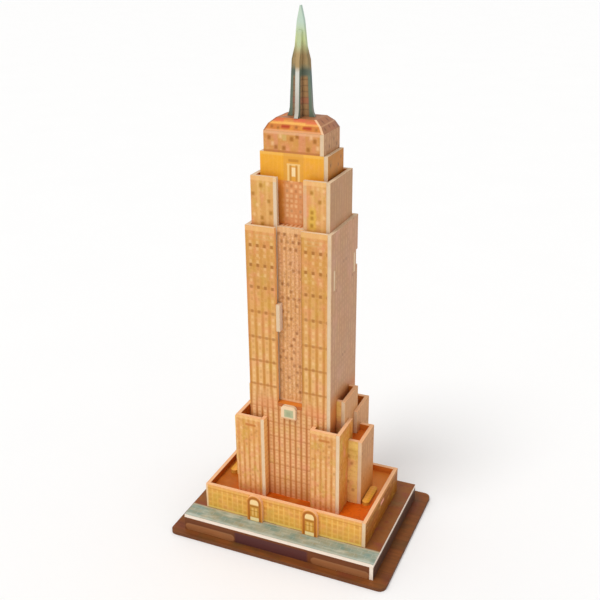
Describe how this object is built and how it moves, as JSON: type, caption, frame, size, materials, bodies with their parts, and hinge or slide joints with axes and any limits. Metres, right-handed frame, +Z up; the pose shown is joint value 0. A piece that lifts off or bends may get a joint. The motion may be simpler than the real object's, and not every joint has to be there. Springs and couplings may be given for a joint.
{
  "type": "foam board tower model",
  "caption": "Press-fit foam-board model of a stepped art deco tower with corner wings, a crown, a hipped roof and a crossed-fin spire on a two-level plinth.",
  "frame": {"origin": "middle of the underside of the base board, which rests on the table", "axes": "+Z up along the tower, +X to the viewer's right when the two front doors face the viewer, -Y out of the front"},
  "size_m": [0.182, 0.128, 0.404],
  "materials": {
    "base_print": "matte",
    "street_print": "satin",
    "podium_print": "satin",
    "roof_print": "satin",
    "front_print": "satin",
    "side_print": "satin",
    "crown_print": "satin",
    "door_print": "satin",
    "spire_print": "satin",
    "foam_core": "matte"
  },
  "bodies": {
    "root": {"base_board": "base_print", "base_front_panel": "base_print", "base_back_panel": "base_print", "base_left_panel": "base_print", "base_right_panel": "base_print", "street_board": "street_print", "podium_front_wall": "podium_print", "podium_back_wall": "podium_print", "podium_left_wall": "podium_print", "podium_right_wall": "podium_print", "podium_roof": "roof_print", "door_left": "door_print", "door_right": "door_print", "skylight_left": "crown_print", "skylight_right": "crown_print", "wing_front_left": "front_print", "wing_front_right": "front_print", "wing_back_left": "front_print", "wing_back_right": "front_print", "wing_side_front_left": "side_print", "wing_side_front_right": "side_print", "wing_side_back_left": "side_print", "wing_side_back_right": "side_print", "wing_inner_left": "side_print", "wing_inner_right": "side_print", "annex_left_front": "front_print", "annex_left_back": "front_print", "annex_left_outer": "side_print", "annex_left_high": "side_print", "annex_left_floor": "roof_print", "annex_right_front": "front_print", "annex_right_back": "front_print", "annex_right_outer": "side_print", "annex_right_high": "side_print", "annex_right_floor": "roof_print", "shaft_front": "front_print", "shaft_back": "front_print", "shaft_left": "side_print", "shaft_right": "side_print", "shaft_crest": "door_print", "tier_plate_low": "roof_print", "tier_plate_high": "roof_print", "core_left": "foam_core", "core_right": "foam_core", "upper_front": "front_print", "upper_back": "front_print", "upper_left": "side_print", "upper_right": "side_print", "crown_front": "crown_print", "crown_back": "crown_print", "crown_left": "side_print", "crown_right": "side_print", "top_left": "side_print", "top_right": "side_print", "hipped_roof": "roof_print", "spire_fin_wide": "spire_print", "spire_fin_deep": "spire_print"}
  },
  "joints": []
}
